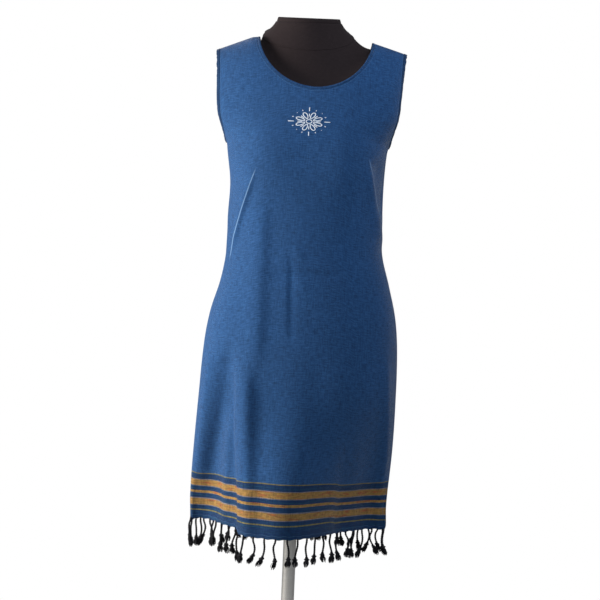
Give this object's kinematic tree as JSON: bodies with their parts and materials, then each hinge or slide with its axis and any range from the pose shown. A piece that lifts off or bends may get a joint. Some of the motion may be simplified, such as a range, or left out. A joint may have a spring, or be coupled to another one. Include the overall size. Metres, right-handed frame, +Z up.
{
  "type": "beach dress on a dress form",
  "caption": "Sleeveless shift dress with scoop neck, side slits and knotted hem fringe, worn on a limbless dress form with pole and round base.",
  "frame": {"origin": "middle of the round base's underside, on the floor", "axes": "+Z up along the pole; the dress's front faces -Y and its left side, as seen from the front, is at -X"},
  "size_m": [0.3902, 0.36, 1.4963],
  "materials": {
    "dress_cotton": "plain-woven cotton, blue weft on a black warp, ochre border stripes",
    "binding_cotton": "the same cotton, turned and stitched",
    "fringe_yarn": "twisted and knotted black cotton yarn",
    "form_jersey": "black cotton jersey stretched over the form",
    "stand_enamel": "satin black enamel",
    "pole_steel": "brushed steel tube"
  },
  "bodies": {
    "root": {"front_panel": "dress_cotton", "back_panel": "dress_cotton", "neck_binding": "binding_cotton", "armhole_binding_left": "binding_cotton", "armhole_binding_right": "binding_cotton", "fringe_front": "fringe_yarn", "fringe_back": "fringe_yarn", "form_torso": "form_jersey", "form_neck_cap": "form_jersey", "form_base_plate": "stand_enamel", "stand_pole": "pole_steel", "pole_socket": "stand_enamel", "stand_base": "stand_enamel"}
  },
  "joints": []
}
